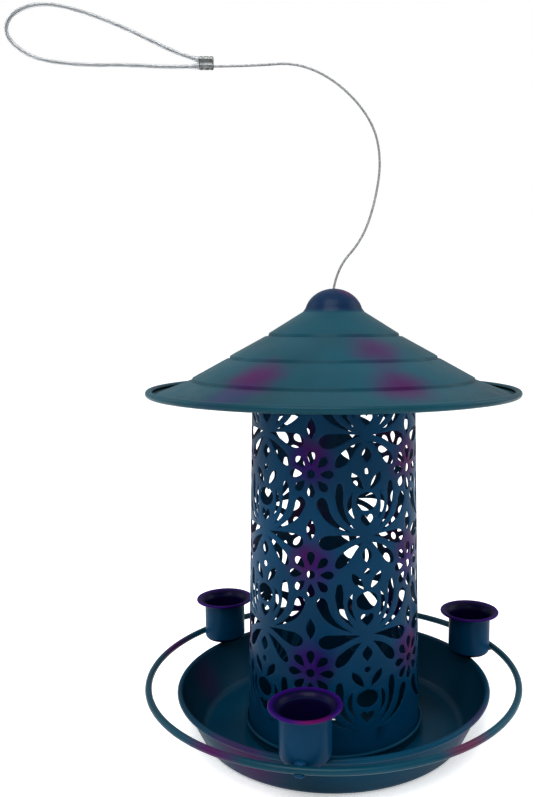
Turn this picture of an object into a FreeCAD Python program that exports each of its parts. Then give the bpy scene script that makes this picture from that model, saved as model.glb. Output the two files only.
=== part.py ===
"""Hanging bird feeder of painted sheet metal: a pierced seed tube on a shallow tray, a wide
stepped roof that slides up the hanging cable for filling, a round wire perch ring and three cups.

Millimetres, +Z up. The origin is on the feeder's axis, on the plane that the tray rests on.
Angles are measured from the front (-Y), positive towards +X.
"""
import FreeCAD, Part
import math
import os

Vector = FreeCAD.Vector
AXIS_Z = Vector(0, 0, 1)
CENTRE = Vector(0, 0, 0)

# --- driving dimensions ---
SHEET = 0.8                  # thickness of every pressed sheet piece

RING_RADIUS = 118.0          # perch ring, to the middle of its wire
RING_WIRE = 4.2
RING_HEIGHT = 34.0

TRAY_RIM_RADIUS = 98.6       # middle of the rolled rim
TRAY_RIM_BEAD = 3.4
TRAY_HEIGHT = 28.2           # middle of the rolled rim
TRAY_FLOOR_RADIUS = 84.5     # where the wall would meet the floor with no corner
TRAY_CORNER = 7.0
TRAY_HOLE_RADIUS = 2.5
DRAIN_CIRCLE = 67.0
DRAIN_ANGLES = (167.7, -12.3)
DRAIN_RADIUS = 1.8

SEAT_LIP_RADIUS = 57.6
SEAT_LIP_BEAD = 1.6
SEAT_HEIGHT = 6.0
SEAT_CLEARANCE = 0.05
SEAT_RIVET_CIRCLE = 40.0
SEAT_RIVETS = 3
SEAT_RIVET_HEAD = 1.1

TUBE_FOOT_RADIUS = 55.6      # outside
TUBE_TOP_RADIUS = 50.8       # outside
TUBE_TOP = 246.6             # just clear of the roof's underside
TUBE_WALL = 0.6
LAP_WIDTH = 9.0
TILES = 5                    # pierced tiles round the tube
TILE_PITCH = 58.9            # height of a tile
FLOWER_ANGLE = -14.5
FLOWER_HEIGHT = 56.1         # middle of the lowest flower
ROSETTE_RISE = 23.3          # a rosette column's blank node above the flower's middle
ROWS = 3
PETALS = 8
PETAL_CIRCLE = 9.3           # to the middle of a petal

# Oval punches as (across, up, wide, tall, tilt in degrees) from the middle they belong to.
FLOWER_PUNCHES = ((0.0, 0.0, 4.9, 4.8, 0.0), (0.0, 26.6, 5.6, 12.6, 0.0))
PETAL_WIDE, PETAL_TALL = 7.4, 4.4
ROSETTE_PUNCHES = (
    (0.0, -12.3, 5.8, 9.0, 0.0), (0.0, -39.7, 12.6, 10.0, 0.0), (0.0, -50.9, 7.6, 6.6, 0.0),
)
LEAF_PUNCHES = ((16.0, -2.8, 19.0, 6.0, -8.0), (11.0, -11.4, 15.0, 4.4, -42.0),
                (13.4, -41.6, 4.0, 22.0, -24.0))
PUNCH_REACH = 16.0

BAR_WIDTH = 12.0
BAR_THICK = 1.5
BAR_TOP = 238.0
BAR_TAB = 9.0
BAR_CLEARANCE = 0.1
BAR_RIVET_HEIGHT = BAR_TOP - 5.5
BAR_RIVET_HEAD = 1.2
RIVET_RADIUS = 1.6
RIVET_HEAD_RADIUS = 2.9

ROOF_BEAD_RADIUS = 114.2
ROOF_BEAD = 4.2
ROOF_BEAD_HEIGHT = 218.0
ROOF_EDGE = (112.9, 216.9)   # where the cone runs into the rolled rim
ROOF_STEPS = ((87.6, 226.8), (64.3, 240.3), (40.2, 254.2))
STEP_DROP = 1.3
STEP_LEDGE = 2.4
DOME_RADIUS = 18.2
DOME_BASE = 265.6
DOME_HEIGHT = 16.1
CABLE_HOLE = 1.6
DOME_POINTS = 10
DOME_FOOT_ANGLE = 12.0       # degrees up the dome where it meets the cone
CONE_DROP = SHEET * 1.15     # the sloping sheet's thickness, measured straight down

CUP_ANGLES = {"cup_front": -8.5, "cup_right": 111.5, "cup_left": -128.5}
CUP_CIRCLE = 101.5
CUP_RADIUS = 14.15
CUP_RIM_RADIUS = 19.0        # middle of the curled edge
CUP_RIM_BEAD = 1.5
CUP_BASE = 31.6
CUP_TOP = 61.6
CUP_CORNER = 3.4

RIM_WELD_FOOT, RIM_WELD_HEAD, RIM_WELD_HEIGHT = 3.6, 2.6, 2.6
RING_WELD_RADIUS = 2.2

CABLE = 1.5
SLEEVE = 2.5
SLEEVE_BORE = 1.7
STOP_RADIUS = 2.6
STOP_LENGTH = 8.0
CABLE_CLEARANCE = 0.1
FERRULE_LENGTH = 8.4
FERRULE_CENTRE = (-77.6, 417.9)
FERRULE_BARREL = 2.2         # outside radius of each of the two barrels
BARREL_OFFSET = 1.9          # each barrel's centre from the ferrule's middle
FERRULE_WAIST = 2.4
FERRULE_BACK = FERRULE_CENTRE[0] - FERRULE_LENGTH / 2
FERRULE_FRONT = FERRULE_CENTRE[0] + FERRULE_LENGTH / 2
LOW_BARREL = FERRULE_CENTRE[1] - BARREL_OFFSET
HIGH_BARREL = FERRULE_CENTRE[1] + BARREL_OFFSET
DOME_TOP = DOME_BASE + DOME_HEIGHT

# Routes in the plane y = 0, as (x, z).
HANGING_ROUTE = [
    (0.0, DOME_TOP), (1.6, 294.5), (17.0, 311.5), (25.5, 334.0), (30.5, 361.0), (24.5, 384.5),
    (4.0, 408.0), (-22.0, 419.5), (-48.0, 416.6), (FERRULE_FRONT, LOW_BARREL),
]
LOOP_ROUTE = [
    (FERRULE_BACK, LOW_BARREL), (-100.0, 415.4), (-125.0, 416.9), (-152.0, 416.7), (-180.0, 419.5),
    (-194.5, 428.0), (-200.5, 440.0), (-194.0, 450.5), (-176.0, 456.0), (-152.0, 449.6),
    (-128.0, 439.2), (-106.0, 428.6), (-91.5, 422.3), (FERRULE_BACK, HIGH_BARREL),
]


# --- small helpers ---
def polar(radius, degrees, height=0.0):
    """A point at an angle from the front."""
    turn = math.radians(degrees)
    return Vector(radius * math.sin(turn), -radius * math.cos(turn), height)


def section_point(radius, height):
    return Vector(radius, 0, height)


def turned(edges):
    """A solid of revolution about Z from the edges of a closed section."""
    return Part.Face(Part.Wire(edges)).revolve(CENTRE, AXIS_Z, 360)


def chain(points):
    """Straight edges through (radius, height) points, left open."""
    vertices = [section_point(*point) for point in points]
    return [Part.LineSegment(a, b).toShape() for a, b in zip(vertices, vertices[1:])]


def turned_polygon(points):
    return turned(chain(list(points) + [points[0]]))


def turned_bead(radius, height, thickness):
    """A rolled edge, as a round ring."""
    return Part.makeTorus(radius, thickness / 2, Vector(0, 0, height))


def disc(radius, low, high, at=CENTRE):
    return Part.makeCylinder(radius, high - low, Vector(at.x, at.y, low))


def arc_through(a, b, c):
    return Part.Arc(section_point(*a), section_point(*b), section_point(*c)).toShape()


def corner_arc(centre, radius, start, end):
    """An arc of a section, by its centre and its start and end angles in degrees."""
    def at(angle):
        turn = math.radians(angle)
        return centre[0] + radius * math.cos(turn), centre[1] + radius * math.sin(turn)
    return arc_through(at(start), at((start + end) / 2), at(end)), at(start), at(end)


# --- tray and seat ---
def make_tray():
    """A shallow pressed dish with a sloping wall, a rolled rim and drain holes."""
    wall_top = (TRAY_RIM_RADIUS - TRAY_RIM_BEAD * 0.3, TRAY_HEIGHT)
    slope = math.degrees(math.atan2(wall_top[1], wall_top[0] - TRAY_FLOOR_RADIUS))
    tangent = TRAY_CORNER * math.tan(math.radians(slope / 2))
    centre = (TRAY_FLOOR_RADIUS - tangent, TRAY_CORNER)
    outer, floor_end, wall_start = corner_arc(centre, TRAY_CORNER, -90, slope - 90)
    inner, inner_floor, inner_wall = corner_arc(centre, TRAY_CORNER - SHEET, -90, slope - 90)
    across = (-SHEET * math.sin(math.radians(slope)), SHEET * math.cos(math.radians(slope)))
    inner_top = (wall_top[0] + across[0], wall_top[1] + across[1])
    edges = chain([(0, SHEET), (0, 0), floor_end]) + [outer]
    edges += chain([wall_start, wall_top, inner_top, inner_wall]) + [inner]
    edges += chain([inner_floor, (0, SHEET)])
    tray = turned(edges).fuse(turned_bead(TRAY_RIM_RADIUS, TRAY_HEIGHT, TRAY_RIM_BEAD))
    holes = [floor_hole(TRAY_HOLE_RADIUS)]
    holes += [floor_hole(DRAIN_RADIUS, polar(DRAIN_CIRCLE, angle)) for angle in DRAIN_ANGLES]
    holes += [floor_hole(RIVET_RADIUS, place) for place in seat_rivet_places()]
    return tray.cut(holes).removeSplitter()


def floor_hole(radius, at=CENTRE):
    """A tool for a hole through the tray's and the seat's floors."""
    return disc(radius, -SHEET, 3 * SHEET, at)


def seat_rivet_places():
    return [polar(SEAT_RIVET_CIRCLE, 60 + 360 * i / SEAT_RIVETS) for i in range(SEAT_RIVETS)]


def make_tube_seat():
    """A shallow cup riveted to the tray that the tube's foot stands in."""
    inside = TUBE_FOOT_RADIUS + SEAT_CLEARANCE
    outside = inside + SHEET
    low, high = SHEET, SHEET + SEAT_HEIGHT
    body = turned_polygon([
        (TRAY_HOLE_RADIUS, low), (outside, low), (outside, high), (inside, high),
        (inside, low + SHEET), (TRAY_HOLE_RADIUS, low + SHEET),
    ])
    lip = turned_bead(SEAT_LIP_RADIUS - SEAT_LIP_BEAD / 2, high, SEAT_LIP_BEAD)
    seat = body.fuse(lip).cut(disc(inside, low + SHEET, high + SEAT_LIP_BEAD))
    return seat.cut([floor_hole(RIVET_RADIUS, place) for place in seat_rivet_places()])


def make_seat_rivets():
    """Rivets through the seat and the tray floor, their heads above the seat."""
    rivets = []
    for place in seat_rivet_places():
        head_low = 2 * SHEET
        shank = disc(RIVET_RADIUS, SHEET / 8, head_low, place)
        head = Part.makeCone(RIVET_HEAD_RADIUS, RIVET_RADIUS, SEAT_RIVET_HEAD,
                             Vector(place.x, place.y, head_low))
        rivets.append(shank.fuse(head))
    return Part.makeCompound(rivets)


# --- pierced tube ---
def tube_radius(height):
    """The tube's outside radius, which narrows a little upwards."""
    return TUBE_FOOT_RADIUS + (TUBE_TOP_RADIUS - TUBE_FOOT_RADIUS) * height / TUBE_TOP


def punch(degrees, height, wide, tall, tilt=0.0):
    """An oval punch through the tube wall, long across (wide) or up (tall), turned by tilt."""
    major, minor = max(wide, tall) / 2, min(wide, tall) / 2
    oval = Part.Wire(Part.Ellipse(CENTRE, major, minor).toShape())
    tool = Part.Face(oval).extrude(Vector(0, 0, PUNCH_REACH))
    tool.rotate(CENTRE, AXIS_Z, tilt + (90 if tall > wide else 0))
    tool.rotate(CENTRE, Vector(1, 0, 0), 90)
    tool.translate(Vector(0, PUNCH_REACH / 2 - TUBE_TOP_RADIUS, height))
    tool.rotate(CENTRE, AXIS_Z, degrees)
    return tool


def punches_about(degrees, height, pattern, side=1):
    """The punches of a pattern about a middle on the tube, mirrored when side is -1."""
    turn = math.degrees(1 / tube_radius(height))
    return [punch(degrees + side * across * turn, height + up, wide, tall, side * tilt)
            for across, up, wide, tall, tilt in pattern]


def flower_punches(degrees, height):
    """A round middle, eight petals and the pointed slot above them."""
    petals = []
    for petal in range(PETALS):
        tilt = 360 * petal / PETALS
        angle = math.radians(tilt)
        petals.append((PETAL_CIRCLE * math.cos(angle), PETAL_CIRCLE * math.sin(angle),
                       PETAL_WIDE, PETAL_TALL, tilt))
    return punches_about(degrees, height, FLOWER_PUNCHES + tuple(petals))


def rosette_punches(degrees, height):
    """The oval eye, the heart and the pairs of leaves below a blank node of the pattern."""
    tools = punches_about(degrees, height, ROSETTE_PUNCHES)
    return tools + punches_about(degrees, height, LEAF_PUNCHES) + punches_about(
        degrees, height, LEAF_PUNCHES, -1)


def make_feed_tube():
    """A pierced sheet rolled into a slightly tapered tube with a lap seam at the back."""
    foot = 2 * SHEET
    tall = TUBE_TOP - foot

    def taper(inset):
        return Part.makeCone(tube_radius(foot) - inset, TUBE_TOP_RADIUS - inset, tall, Vector(0, 0, foot))

    strip = Part.makeBox(LAP_WIDTH, TUBE_TOP_RADIUS, tall, Vector(-LAP_WIDTH / 2, TUBE_TOP_RADIUS / 2, foot))
    lap = taper(0).cut(taper(2 * TUBE_WALL)).common(strip)
    tools = []
    for tile in range(TILES):
        turn = 360 * tile / TILES
        for row in range(ROWS):
            height = FLOWER_HEIGHT + row * TILE_PITCH
            tools += flower_punches(FLOWER_ANGLE + turn, height)
            rosette = FLOWER_ANGLE + 180 / TILES + turn
            tools += rosette_punches(rosette, height + ROSETTE_RISE)
    tools += [rivet_punch(side) for side in (-1, 1)]
    return taper(0).cut(taper(TUBE_WALL)).fuse(lap).cut(tools)


def rivet_punch(side):
    """The hole for a crossbar rivet."""
    start = Vector(side * (TUBE_TOP_RADIUS - BAR_WIDTH / 2), 0, BAR_RIVET_HEIGHT)
    return Part.makeCylinder(RIVET_RADIUS, BAR_WIDTH, start, Vector(side, 0, 0))


# --- crossbar, stop and rivets ---
def bar_reach():
    """Half the crossbar's length: it just fits inside the tube's wall."""
    return tube_radius(BAR_TOP) - TUBE_WALL - BAR_CLEARANCE


def make_tube_crossbar():
    """A flat strap across the tube's top with turned-down ends and a hole for the cable."""
    reach = bar_reach()
    bar = Part.makeBox(2 * reach, BAR_WIDTH, BAR_THICK,
                       Vector(-reach, -BAR_WIDTH / 2, BAR_TOP - BAR_THICK))
    for low_x in (-reach, reach - BAR_THICK):
        bar = bar.fuse(Part.makeBox(BAR_THICK, BAR_WIDTH, BAR_TAB,
                                    Vector(low_x, -BAR_WIDTH / 2, BAR_TOP - BAR_TAB)))
    bar = bar.common(disc(reach, BAR_TOP - BAR_TAB, BAR_TOP)).removeSplitter()
    holes = [disc(CABLE / 2 + CABLE_CLEARANCE, BAR_TOP - BAR_TAB, BAR_TOP + BAR_THICK)]
    return bar.cut(holes + [rivet_punch(side) for side in (-1, 1)])


def make_crossbar_rivets():
    """Two rivets through the tube's wall and the crossbar's turned-down ends."""
    rivets = []
    for side in (-1, 1):
        out = Vector(side, 0, 0)
        start = bar_reach() - BAR_THICK - SHEET
        length = tube_radius(BAR_RIVET_HEIGHT) + BAR_CLEARANCE - start
        shank = Part.makeCylinder(RIVET_RADIUS - 0.02, length,
                                  Vector(side * start, 0, BAR_RIVET_HEIGHT), out)
        head = Part.makeCone(RIVET_HEAD_RADIUS, RIVET_RADIUS, BAR_RIVET_HEAD,
                             Vector(side * (start + length), 0, BAR_RIVET_HEIGHT), out)
        rivets.append(shank.fuse(head))
    return Part.makeCompound(rivets)


def make_cable_stop():
    """The crimped stop that holds the cable's end under the crossbar."""
    top = BAR_TOP - BAR_THICK
    stop = disc(STOP_RADIUS, top - STOP_LENGTH, top)
    return stop.cut(disc(CABLE / 2, top - STOP_LENGTH, top))


# --- roof ---
def roof_outline():
    """The roof's upper surface as (radius, height), from the rim to the dome's foot."""
    points = [ROOF_EDGE]
    for radius, height in ROOF_STEPS:
        points.append((radius + STEP_LEDGE, height - STEP_DROP - STEP_LEDGE * 0.2))
        points.append((radius + 0.5, height - STEP_DROP))
        points.append((radius, height))
    slope = (ROOF_STEPS[2][1] - ROOF_STEPS[1][1] + STEP_DROP) / (ROOF_STEPS[1][0] - ROOF_STEPS[2][0])
    foot = DOME_RADIUS + 1.6
    points.append((foot, ROOF_STEPS[2][1] + slope * (ROOF_STEPS[2][0] - foot)))
    return points


def dome_section(radius, height):
    """One side of the dome as (radius, height) points, from its foot to its top."""
    points = []
    for step in range(DOME_POINTS):
        angle = math.radians(DOME_FOOT_ANGLE + (90 - DOME_FOOT_ANGLE) * step / (DOME_POINTS - 1))
        points.append((radius * math.cos(angle), DOME_BASE + height * math.sin(angle)))
    points[-1] = (0, DOME_BASE + height)
    return points


def make_roof():
    """A wide cone pressed in stepped rings, with a round dome and a rolled-up rim."""
    upper = roof_outline()
    lower = [(radius, height - CONE_DROP) for radius, height in upper]
    cone = turned_polygon(upper + lower[::-1])
    outside = [upper[-1]] + dome_section(DOME_RADIUS, DOME_HEIGHT)
    inside = [lower[-1]] + dome_section(DOME_RADIUS - SHEET, DOME_HEIGHT - SHEET)
    dome = turned_polygon(outside + inside[::-1])
    rim = turned_bead(ROOF_BEAD_RADIUS, ROOF_BEAD_HEIGHT, ROOF_BEAD)
    roof = cone.fuse([dome, rim])
    return roof.cut(disc(CABLE_HOLE, DOME_BASE, DOME_TOP + SHEET)).removeSplitter()


# --- perch ring and cups ---
def make_perch_ring():
    return turned_bead(RING_RADIUS, RING_HEIGHT, RING_WIRE)


def make_cup(degrees):
    """A deep drawn cup with a flared mouth and a curled edge."""
    outer_flat = CUP_RADIUS - CUP_CORNER
    outer, floor_end, wall_start = corner_arc((outer_flat, CUP_CORNER), CUP_CORNER, -90, 0)
    inner, inner_floor, inner_wall = corner_arc((outer_flat, CUP_CORNER), CUP_CORNER - SHEET, -90, 0)
    tall = CUP_TOP - CUP_BASE
    flare_reach = CUP_RIM_RADIUS - CUP_RADIUS
    flare_low = tall - flare_reach - SHEET
    flare_centre = (CUP_RIM_RADIUS, flare_low)
    flare, _, flare_end = corner_arc(flare_centre, flare_reach, 180, 92)
    back, _, back_end = corner_arc(flare_centre, flare_reach + SHEET, 180, 92)
    edges = chain([(0, SHEET), (0, 0), floor_end]) + [outer]
    edges += chain([wall_start, (CUP_RADIUS, flare_low)]) + [flare]
    edges += chain([flare_end, back_end]) + [back]
    edges += chain([(CUP_RADIUS - SHEET, flare_low), inner_wall]) + [inner]
    edges += chain([inner_floor, (0, SHEET)])
    rim = turned_bead(CUP_RIM_RADIUS, tall - CUP_RIM_BEAD / 2, CUP_RIM_BEAD)
    cup = turned(Part.__sortEdges__(edges)).fuse(rim)
    return cup.translated(polar(CUP_CIRCLE, degrees, CUP_BASE))


def make_cup_welds():
    """A weld bead under each cup, on the tray's rim."""
    beads = []
    for degrees in CUP_ANGLES.values():
        foot = polar(TRAY_RIM_RADIUS + TRAY_RIM_BEAD / 2, degrees, CUP_BASE - RIM_WELD_HEIGHT)
        beads.append(Part.makeCone(RIM_WELD_FOOT, RIM_WELD_HEAD, RIM_WELD_HEIGHT, foot))
    rim = turned_bead(TRAY_RIM_RADIUS, TRAY_HEIGHT, TRAY_RIM_BEAD)
    return Part.makeCompound([bead.cut(rim) for bead in beads])


def make_ring_welds():
    """A weld bead between each cup's side and the perch ring."""
    wire = make_perch_ring()
    beads = []
    for degrees in CUP_ANGLES.values():
        middle = polar(CUP_CIRCLE + CUP_RADIUS, degrees, RING_HEIGHT + RING_WIRE / 2)
        bead = Part.makeSphere(RING_WELD_RADIUS, middle)
        shell = Part.makeCylinder(CUP_RADIUS, CUP_TOP, polar(CUP_CIRCLE, degrees, 0))
        beads.append(bead.cut([wire, shell]))
    return Part.makeCompound([max(bead.Solids, key=lambda solid: solid.Volume) for bead in beads])


# --- cable ---
def rounded_path(route):
    """Straight runs joined by tangent arcs as large as the runs allow, and their radii."""
    points = [section_point(*point) for point in route]
    edges, radii, last = [], [], points[0]
    for before, corner, after in zip(points, points[1:], points[2:]):
        to_back, to_next = before - corner, after - corner
        half_turn = (math.pi - to_back.getAngle(to_next)) / 2
        cut = 0.45 * min(to_back.Length, to_next.Length)
        radius = cut / math.tan(half_turn)
        to_back.normalize()
        to_next.normalize()
        start, end = corner + to_back * cut, corner + to_next * cut
        inward = (to_back + to_next).normalize()
        middle = corner + inward * (radius / math.cos(half_turn) - radius)
        edges.append(Part.LineSegment(last, start).toShape())
        edges.append(Part.Arc(start, middle, end).toShape())
        radii.append(radius)
        last = end
    edges.append(Part.LineSegment(last, points[-1]).toShape())
    return Part.Wire(edges), radii


def swept_tube(route, diameter, name):
    """A round tube along a route, with its radii and volume printed."""
    path, radii = rounded_path(route)
    first = section_point(*route[0])
    along = section_point(*route[1]) - first
    section = Part.Wire(Part.Circle(first, along, diameter / 2).toShape())
    solid = path.makePipeShell([section], True, False)
    expected = math.pi * diameter ** 2 / 4 * path.Length
    print(name, "length", round(path.Length, 1), "radii", [round(radius, 1) for radius in radii],
          "volume ratio", round(solid.Volume / expected, 4))
    return solid


def make_core_cable():
    """The straight stretch of cable from the stop up to the roof's hole."""
    return disc(CABLE / 2 - CABLE_CLEARANCE / 5, BAR_TOP - BAR_THICK - STOP_LENGTH, DOME_TOP)


def make_hanging_cable():
    return swept_tube(HANGING_ROUTE, CABLE, "hanging_cable")


def make_loop_cable():
    return swept_tube(LOOP_ROUTE, CABLE, "loop_cable")


def make_loop_sleeve():
    """The clear plastic tube over the loop."""
    outer = swept_tube(LOOP_ROUTE, SLEEVE, "loop_sleeve")
    bore = swept_tube(LOOP_ROUTE, SLEEVE_BORE, "loop_sleeve_bore")
    ferrule_side = Part.makeBox(FERRULE_LENGTH, 4 * SLEEVE, 4 * SLEEVE,
                                Vector(FERRULE_BACK, -2 * SLEEVE, FERRULE_CENTRE[1] - 2 * SLEEVE))
    return outer.cut([bore, ferrule_side])


def make_loop_ferrule():
    """A crimped double-barrelled sleeve that closes the loop."""
    along = Vector(1, 0, 0)
    back = FERRULE_BACK
    barrels = [Part.makeCylinder(FERRULE_BARREL, FERRULE_LENGTH, Vector(back, 0, height), along)
               for height in (LOW_BARREL, HIGH_BARREL)]
    web = Part.makeBox(FERRULE_LENGTH, FERRULE_WAIST, 2 * BARREL_OFFSET,
                       Vector(back, -FERRULE_WAIST / 2, LOW_BARREL))
    return barrels[0].fuse([barrels[1], web]).removeSplitter()


def main():
    os.makedirs("parts", exist_ok=True)
    nodes = {
        "tray": make_tray(),
        "tube_seat": make_tube_seat(),
        "seat_rivets": make_seat_rivets(),
        "feed_tube": make_feed_tube(),
        "tube_crossbar": make_tube_crossbar(),
        "crossbar_rivets": make_crossbar_rivets(),
        "cable_stop": make_cable_stop(),
        "roof": make_roof(),
        "perch_ring": make_perch_ring(),
        "cup_welds": make_cup_welds(),
        "ring_welds": make_ring_welds(),
        "core_cable": make_core_cable(),
        "hanging_cable": make_hanging_cable(),
        "loop_cable": make_loop_cable(),
        "loop_sleeve": make_loop_sleeve(),
        "loop_ferrule": make_loop_ferrule(),
    }
    for name, degrees in CUP_ANGLES.items():
        nodes[name] = make_cup(degrees)
    for name, shape in nodes.items():
        if not shape.isValid():
            raise ValueError(f"{name} is not a valid shape")
        shape.exportStep(f"parts/{name}.step")
        box = shape.BoundBox
        print(f"{name:16s} solids {len(shape.Solids)} volume {shape.Volume:10.1f} "
              f"z {box.ZMin:7.2f} {box.ZMax:7.2f} x {box.XMin:7.2f} {box.XMax:7.2f}")


main()
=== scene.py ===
"""A hanging bird feeder of painted sheet metal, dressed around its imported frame.

The feeder is a pierced seed tube on a shallow tray, under a stepped roof that slides up the hanging
cable.  Every length inside the classes is in millimetres and is turned into metres as a mesh is made.
Angles round the feeder are measured from the front (-Y), positive towards +X.
"""

import logging
import math
from dataclasses import dataclass, field
from enum import Enum
from typing import Callable, Iterable, Optional, Sequence

import bmesh
import bpy
from mathutils import Matrix, Vector

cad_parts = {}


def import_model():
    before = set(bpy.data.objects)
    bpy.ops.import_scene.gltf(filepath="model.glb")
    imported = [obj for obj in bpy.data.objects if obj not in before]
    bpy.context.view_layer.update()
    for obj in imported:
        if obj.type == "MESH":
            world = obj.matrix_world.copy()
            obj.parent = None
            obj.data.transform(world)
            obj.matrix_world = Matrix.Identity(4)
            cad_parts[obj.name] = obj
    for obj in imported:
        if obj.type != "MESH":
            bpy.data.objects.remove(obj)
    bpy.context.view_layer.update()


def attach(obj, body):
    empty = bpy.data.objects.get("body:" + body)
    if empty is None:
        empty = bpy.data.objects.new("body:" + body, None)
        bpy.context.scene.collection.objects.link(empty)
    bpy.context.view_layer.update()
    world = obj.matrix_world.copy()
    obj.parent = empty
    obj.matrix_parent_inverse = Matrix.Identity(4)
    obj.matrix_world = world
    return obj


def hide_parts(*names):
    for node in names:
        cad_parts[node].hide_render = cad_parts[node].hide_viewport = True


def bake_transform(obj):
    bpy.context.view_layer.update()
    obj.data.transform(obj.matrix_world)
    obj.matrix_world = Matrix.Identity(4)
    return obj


LOG = logging.getLogger("feeder")
MM = 0.001
FEEDER_BODY = "feeder"
ROOF_BODY = "roof"
Point = tuple[float, float]
Colour = tuple[float, float, float]


# --- places and small mesh helpers ---
def around(radius: float, degrees: float, height: float = 0.0) -> Vector:
    """A point at an angle from the front, in metres from millimetres."""
    turn = math.radians(degrees)
    return Vector((radius * math.sin(turn), -radius * math.cos(turn), height)) * MM


def object_from(mesh: bpy.types.Mesh, name: str) -> bpy.types.Object:
    """Links a mesh into the scene as an object of that name."""
    mesh.name = name
    piece = bpy.data.objects.new(name, mesh)
    bpy.context.scene.collection.objects.link(piece)
    return piece


def finish_mesh(made: bmesh.types.BMesh, name: str, sharp_degrees: float = 34.0) -> bpy.types.Object:
    """Turns a bmesh into a smooth-shaded object with its crisp edges kept.

    Args:
        made: the finished shape, in metres; it is freed here.
        name: the object's name.
        sharp_degrees: an edge whose faces turn by more than this is shown sharp.

    Returns:
        The new object, at the origin.
    """
    limit = math.radians(sharp_degrees)
    for face in made.faces:
        face.smooth = True
    for edge in made.edges:
        if len(edge.link_faces) == 2:
            edge.smooth = edge.calc_face_angle(0.0) < limit
    mesh = bpy.data.meshes.new(name)
    made.to_mesh(mesh)
    made.free()
    return object_from(mesh, name)


def join(name: str, pieces: Sequence[bpy.types.Object]) -> bpy.types.Object:
    """Merges several objects' meshes into one object of that name."""
    whole = bmesh.new()
    for piece in pieces:
        whole.from_mesh(piece.data)
        mesh = piece.data
        bpy.data.objects.remove(piece)
        bpy.data.meshes.remove(mesh)
    return finish_mesh(whole, name)


def applied(piece: bpy.types.Object) -> bpy.types.Object:
    """Makes a piece's modifiers part of its mesh."""
    view = bpy.context.evaluated_depsgraph_get()
    baked = bpy.data.meshes.new_from_object(piece.evaluated_get(view))
    old = piece.data
    piece.modifiers.clear()
    piece.data = baked
    baked.name = piece.name
    if old.users == 0:
        bpy.data.meshes.remove(old)
    return piece


def cut_holes(piece: bpy.types.Object, places: Iterable[Vector], radius: float,
              depth: float) -> bpy.types.Object:
    """Cuts round upright holes through a piece.

    Args:
        piece: the piece to cut.
        places: the holes' middles, in metres.
        radius: the holes' radius, in millimetres.
        depth: how far each cutter reaches up and down, in millimetres.

    Returns:
        The same piece with the holes in its mesh.
    """
    tool = bmesh.new()
    for place in places:
        bmesh.ops.create_cone(tool, cap_ends=True, segments=20, radius1=radius * MM,
                              radius2=radius * MM, depth=2 * depth * MM,
                              matrix=Matrix.Translation(place))
    cutter = finish_mesh(tool, piece.name + "_cutter")
    boolean = piece.modifiers.new("holes", "BOOLEAN")
    boolean.operation = "DIFFERENCE"
    boolean.solver = "EXACT"
    boolean.object = cutter
    applied(piece)
    mesh = cutter.data
    bpy.data.objects.remove(cutter)
    bpy.data.meshes.remove(mesh)
    return piece


@dataclass
class Profile:
    """A half section in (radius, height) millimetres, built from runs, arcs and rounded corners."""

    points: list[Point] = field(default_factory=list)

    def to(self, *stops: Point) -> "Profile":
        """Adds straight runs to each stop in turn."""
        self.points.extend(stops)
        return self

    def arc(self, centre: Point, radius: float, start: float, end: float,
            steps: int = 8, tall: Optional[float] = None) -> "Profile":
        """Adds an arc, or part of an ellipse when tall is given.

        Args:
            centre: the arc's centre.
            radius: its radius across.
            start: its first angle in degrees, from the +radius direction.
            end: its last angle in degrees.
            steps: how many runs it is made of.
            tall: its radius upwards, when that differs.

        Returns:
            The profile itself.
        """
        high = radius if tall is None else tall
        for step in range(steps + 1):
            turn = math.radians(start + (end - start) * step / steps)
            self.points.append((centre[0] + radius * math.cos(turn), centre[1] + high * math.sin(turn)))
        return self

    def corner(self, at: Point, towards: Point, radius: float, steps: int = 4) -> "Profile":
        """Adds a rounded corner.

        Args:
            at: where the two runs would meet.
            towards: a point on the run that leaves the corner.
            radius: the corner's radius.
            steps: how many runs the round is made of.

        Returns:
            The profile itself.
        """
        here = Vector(at)
        back = (Vector(self.points[-1]) - here).normalized()
        ahead = (Vector(towards) - here).normalized()
        half = back.angle(ahead) / 2
        reach = radius / math.tan(half)
        middle = here + (back + ahead).normalized() * (radius / math.sin(half))
        start, end = here + back * reach - middle, here + ahead * reach - middle
        sweep = math.atan2(start.x * end.y - start.y * end.x, start.dot(end))
        for step in range(steps + 1):
            turn = sweep * step / steps
            spoke = Vector((start.x * math.cos(turn) - start.y * math.sin(turn),
                            start.x * math.sin(turn) + start.y * math.cos(turn)))
            self.points.append(tuple(middle + spoke))
        return self


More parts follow.
